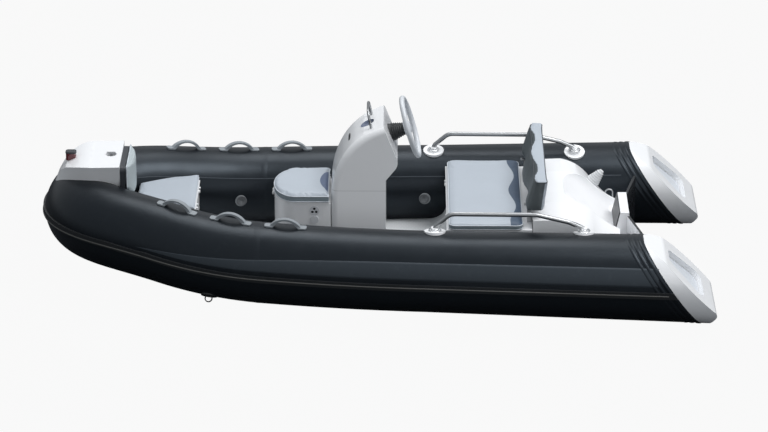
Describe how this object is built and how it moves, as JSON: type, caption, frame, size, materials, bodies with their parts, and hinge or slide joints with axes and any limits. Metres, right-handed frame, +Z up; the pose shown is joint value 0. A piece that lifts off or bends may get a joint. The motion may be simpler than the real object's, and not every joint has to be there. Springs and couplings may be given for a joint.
{
  "type": "rigid inflatable boat",
  "caption": "Rigid inflatable boat with twin buoyancy tubes, vee hull, steering console, seat lockers, stern bench with folding backrest, grab rails and white moulded bow step.",
  "frame": {"origin": "amidships on the centreline, at the waterline", "axes": "+X towards the bow along the length, +Y to port across the plane of symmetry, +Z up"},
  "size_m": [3.7834, 1.882, 1.2297],
  "materials": {
    "tube": "satin",
    "strake": "matt",
    "gelcoat": "gloss",
    "tread": "matt",
    "cushion": "matt",
    "dark_cushion": "matt",
    "steel": "polished",
    "black_rubber": "matt",
    "wheel": "satin",
    "handle": "satin",
    "valve": "satin",
    "lamp": "gloss",
    "black_plastic": "satin",
    "pale_rubber": "satin",
    "vent": "satin"
  },
  "bodies": {
    "boat": {"port_tube": "tube", "starboard_tube": "tube", "bow_tube": "tube", "port_end_cap": "gelcoat", "starboard_end_cap": "gelcoat", "port_step_pad": "tread", "starboard_step_pad": "tread", "port_rub_strake": "strake", "starboard_rub_strake": "strake", "hull": "gelcoat", "deck": "gelcoat", "transom": "gelcoat", "clamp_plate": "black_plastic", "aft_deck": "gelcoat", "cable_boot": "pale_rubber", "stern_eyes": "steel", "console": "gelcoat", "console_seat_box": "gelcoat", "bench_box": "gelcoat", "bow_step": "gelcoat", "bow_backrest": "cushion", "bow_locker": "gelcoat", "nav_light": "lamp", "nav_light_cap": "black_plastic", "bow_backrest_board": "black_plastic", "lashing_eye": "steel", "lid_hinges": "steel", "seat_vent": "vent", "valves": "valve", "tow_rings": "black_rubber", "bow_cleat": "steel", "helm_boot": "black_rubber", "console_hoop": "steel", "port_rail": "steel", "starboard_rail": "steel", "rail_bases": "gelcoat", "handles": "handle"},
    "steering": {"steering_wheel": "wheel"},
    "bow_lid": {"bow_locker_lid": "gelcoat", "bow_cushion": "cushion"},
    "seat_lid": {"console_seat_lid": "gelcoat", "console_cushion": "cushion"},
    "bench_top": {"bench_lid": "gelcoat", "bench_cushion": "cushion", "back_brackets": "steel"},
    "seat_back": {"backrest": "dark_cushion", "backrest_frame": "steel"}
  },
  "joints": [
    {"name": "steering_turn", "type": "hinge", "parent": "boat", "child": "steering", "pos_m": [-0.198, 0, 0.874], "axis": [-0.957, 0, 0.29], "range_deg": [-540, 540]},
    {"name": "bow_lid_hinge", "type": "hinge", "parent": "boat", "child": "bow_lid", "pos_m": [1.011, 0, 0.432], "axis": [0, -1, 0], "range_deg": [0, 80]},
    {"name": "seat_lid_hinge", "type": "hinge", "parent": "boat", "child": "seat_lid", "pos_m": [0.582, 0, 0.478], "axis": [0, 1, 0], "range_deg": [0, 90]},
    {"name": "bench_top_hinge", "type": "hinge", "parent": "boat", "child": "bench_top", "pos_m": [-0.401, 0, 0.425], "axis": [0, 1, 0], "range_deg": [0, 60]},
    {"name": "seat_back_fold", "type": "hinge", "parent": "bench_top", "child": "seat_back", "pos_m": [-0.866, 0, 0.528], "axis": [0, 1, 0], "range_deg": [0, 88]}
  ]
}
